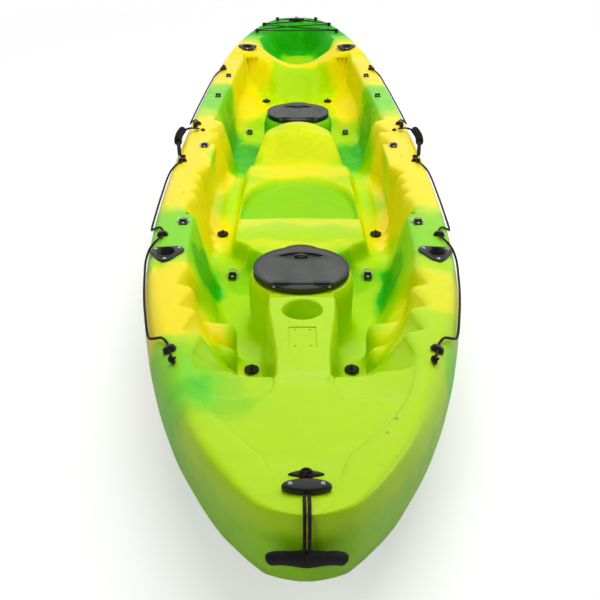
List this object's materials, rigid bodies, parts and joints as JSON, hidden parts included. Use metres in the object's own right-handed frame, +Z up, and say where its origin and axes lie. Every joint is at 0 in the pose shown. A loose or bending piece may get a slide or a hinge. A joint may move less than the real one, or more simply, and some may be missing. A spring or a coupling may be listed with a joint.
{
  "type": "tandem sit-on-top kayak",
  "caption": "Moulded sit-on-top kayak for two paddlers, with footwells, seats, hinged round hatches, flush rod holders, a cargo well and carry handles.",
  "frame": {"origin": "on the ground under the middle of the hull, at the bottom centre of its box", "axes": "+X to port, across the hull; +Y towards the stern along the keel, so the bow points along -Y; +Z up"},
  "size_m": [0.878, 3.76, 0.4145],
  "materials": {
    "hull": "semi-gloss marbled lime, green and yellow polyethylene",
    "black_plastic": "black moulded nylon",
    "rubber": "black rubber",
    "cord": "black braided cord and webbing",
    "steel": "stainless steel"
  },
  "bodies": {
    "kayak": {"hull": "hull", "front_hatch_seal": "rubber", "front_hatch_ring": "black_plastic", "front_hatch_hinge_pins": "steel", "rear_hatch_seal": "rubber", "rear_hatch_ring": "black_plastic", "rear_hatch_hinge_pins": "steel", "rod_holder_fore_port": "black_plastic", "rod_holder_aft_port": "black_plastic", "deck_line_front_port": "cord", "deck_line_rear_port": "cord", "rod_holder_fore_starboard": "black_plastic", "rod_holder_aft_starboard": "black_plastic", "deck_line_front_starboard": "cord", "deck_line_rear_starboard": "cord", "rod_holder_gaskets": "rubber", "pad_eyes": "black_plastic", "deck_line_saddles": "black_plastic", "cargo_hooks": "black_plastic", "cargo_bungee": "cord", "bow_pad_eye": "black_plastic", "bow_bracket": "black_plastic", "bow_anchor_cord": "cord", "stern_bracket": "black_plastic", "stern_anchor_cord": "cord", "handle_anchors": "black_plastic", "drain_socket": "black_plastic", "screws": "steel"},
    "front_lid": {"front_hatch_lid": "black_plastic"},
    "front_latch": {"front_hatch_latch": "black_plastic"},
    "rear_lid": {"rear_hatch_lid": "black_plastic"},
    "rear_latch": {"rear_hatch_latch": "black_plastic"},
    "scupper_plug_front_port": {"scupper_plug_front_port": "rubber"},
    "scupper_plug_mid_port": {"scupper_plug_mid_port": "rubber"},
    "scupper_plug_rear_port": {"scupper_plug_rear_port": "rubber"},
    "d_ring_front_floor_port": {"d_ring_front_floor_port": "steel"},
    "d_ring_rear_floor_port": {"d_ring_rear_floor_port": "steel"},
    "d_ring_fore_deck_port": {"d_ring_fore_deck_port": "steel"},
    "d_ring_mid_deck_port": {"d_ring_mid_deck_port": "steel"},
    "handle_port": {"handle_grip_port": "rubber", "handle_strap_port": "cord"},
    "scupper_plug_front_starboard": {"scupper_plug_front_starboard": "rubber"},
    "scupper_plug_mid_starboard": {"scupper_plug_mid_starboard": "rubber"},
    "scupper_plug_rear_starboard": {"scupper_plug_rear_starboard": "rubber"},
    "d_ring_front_floor_starboard": {"d_ring_front_floor_starboard": "steel"},
    "d_ring_rear_floor_starboard": {"d_ring_rear_floor_starboard": "steel"},
    "d_ring_fore_deck_starboard": {"d_ring_fore_deck_starboard": "steel"},
    "d_ring_mid_deck_starboard": {"d_ring_mid_deck_starboard": "steel"},
    "handle_starboard": {"handle_grip_starboard": "rubber", "handle_strap_starboard": "cord"},
    "bow_toggle": {"bow_toggle_cord": "cord", "bow_toggle_grip": "rubber"},
    "stern_toggle": {"stern_toggle_cord": "cord", "stern_toggle_grip": "rubber"},
    "drain": {"drain_plug": "black_plastic"}
  },
  "joints": [
    {"name": "front_lid_hinge", "type": "hinge", "parent": "kayak", "child": "front_lid", "pos_m": [0, -0.994, 0.2628], "axis": [1, 0, 0], "range_deg": [0, 110]},
    {"name": "front_latch_turn", "type": "hinge", "parent": "front_lid", "child": "front_latch", "pos_m": [0, -0.824, 0.262], "axis": [0, 0, 1], "range_deg": [0, 90]},
    {"name": "rear_lid_hinge", "type": "hinge", "parent": "kayak", "child": "rear_lid", "pos_m": [0, 0.436, 0.2628], "axis": [1, 0, 0], "range_deg": [0, 110]},
    {"name": "rear_latch_turn", "type": "hinge", "parent": "rear_lid", "child": "rear_latch", "pos_m": [0, 0.606, 0.262], "axis": [0, 0, 1], "range_deg": [0, 90]},
    {"name": "scupper_plug_front_port_pull", "type": "slide", "parent": "kayak", "child": "scupper_plug_front_port", "axis": [0, 0, 1], "range_m": [0, 0.06]},
    {"name": "scupper_plug_mid_port_pull", "type": "slide", "parent": "kayak", "child": "scupper_plug_mid_port", "axis": [0, 0, 1], "range_m": [0, 0.06]},
    {"name": "scupper_plug_rear_port_pull", "type": "slide", "parent": "kayak", "child": "scupper_plug_rear_port", "axis": [0, 0, 1], "range_m": [0, 0.06]},
    {"name": "d_ring_front_floor_port_swing", "type": "hinge", "parent": "kayak", "child": "d_ring_front_floor_port", "pos_m": [0.201, -0.61123, 0.10498], "axis": [1, 0, 0], "range_deg": [0, 160]},
    {"name": "d_ring_rear_floor_port_swing", "type": "hinge", "parent": "kayak", "child": "d_ring_rear_floor_port", "pos_m": [0.21, 0.76979, 0.1112], "axis": [1, 0, 0], "range_deg": [0, 160]},
    {"name": "d_ring_fore_deck_port_swing", "type": "hinge", "parent": "kayak", "child": "d_ring_fore_deck_port", "pos_m": [0.32794, -0.67702, 0.30402], "axis": [0.999, 0, 0.0457], "range_deg": [0, 160]},
    {"name": "d_ring_mid_deck_port_swing", "type": "hinge", "parent": "kayak", "child": "d_ring_mid_deck_port", "pos_m": [0.3283, -0.01504, 0.30717], "axis": [0.9992, 0, 0.0397], "range_deg": [0, 160]},
    {"name": "handle_port_swing", "type": "hinge", "parent": "kayak", "child": "handle_port", "pos_m": [0.37004, 0.022, 0.30473], "axis": [0.1332, -0.991, -0.0117], "range_deg": [0, 100]},
    {"name": "scupper_plug_front_starboard_pull", "type": "slide", "parent": "kayak", "child": "scupper_plug_front_starboard", "axis": [0, 0, 1], "range_m": [0, 0.06]},
    {"name": "scupper_plug_mid_starboard_pull", "type": "slide", "parent": "kayak", "child": "scupper_plug_mid_starboard", "axis": [0, 0, 1], "range_m": [0, 0.06]},
    {"name": "scupper_plug_rear_starboard_pull", "type": "slide", "parent": "kayak", "child": "scupper_plug_rear_starboard", "axis": [0, 0, 1], "range_m": [0, 0.06]},
    {"name": "d_ring_front_floor_starboard_swing", "type": "hinge", "parent": "kayak", "child": "d_ring_front_floor_starboard", "pos_m": [-0.201, -0.61123, 0.10498], "axis": [1, 0, 0], "range_deg": [0, 160]},
    {"name": "d_ring_rear_floor_starboard_swing", "type": "hinge", "parent": "kayak", "child": "d_ring_rear_floor_starboard", "pos_m": [-0.21, 0.76979, 0.1112], "axis": [1, 0, 0], "range_deg": [0, 160]},
    {"name": "d_ring_fore_deck_starboard_swing", "type": "hinge", "parent": "kayak", "child": "d_ring_fore_deck_starboard", "pos_m": [-0.32794, -0.67702, 0.30402], "axis": [0.999, 0, -0.0457], "range_deg": [0, 160]},
    {"name": "d_ring_mid_deck_starboard_swing", "type": "hinge", "parent": "kayak", "child": "d_ring_mid_deck_starboard", "pos_m": [-0.3283, -0.01504, 0.30717], "axis": [0.9992, 0, -0.0397], "range_deg": [0, 160]},
    {"name": "handle_starboard_swing", "type": "hinge", "parent": "kayak", "child": "handle_starboard", "pos_m": [-0.37004, 0.022, 0.30473], "axis": [0.1332, 0.991, 0.0117], "range_deg": [0, 100]},
    {"name": "bow_toggle_swing", "type": "hinge", "parent": "kayak", "child": "bow_toggle", "pos_m": [0, -1.8088, 0.30801], "axis": [-1, 0, 0], "range_deg": [0, 80]},
    {"name": "stern_toggle_swing", "type": "hinge", "parent": "kayak", "child": "stern_toggle", "pos_m": [0, 1.8088, 0.40181], "axis": [1, 0, 0], "range_deg": [0, 80]},
    {"name": "drain_plug_turn", "type": "hinge", "parent": "kayak", "child": "drain", "pos_m": [0, 1.854, 0.278], "axis": [0, 1, 0], "range_deg": [0, 360]}
  ]
}
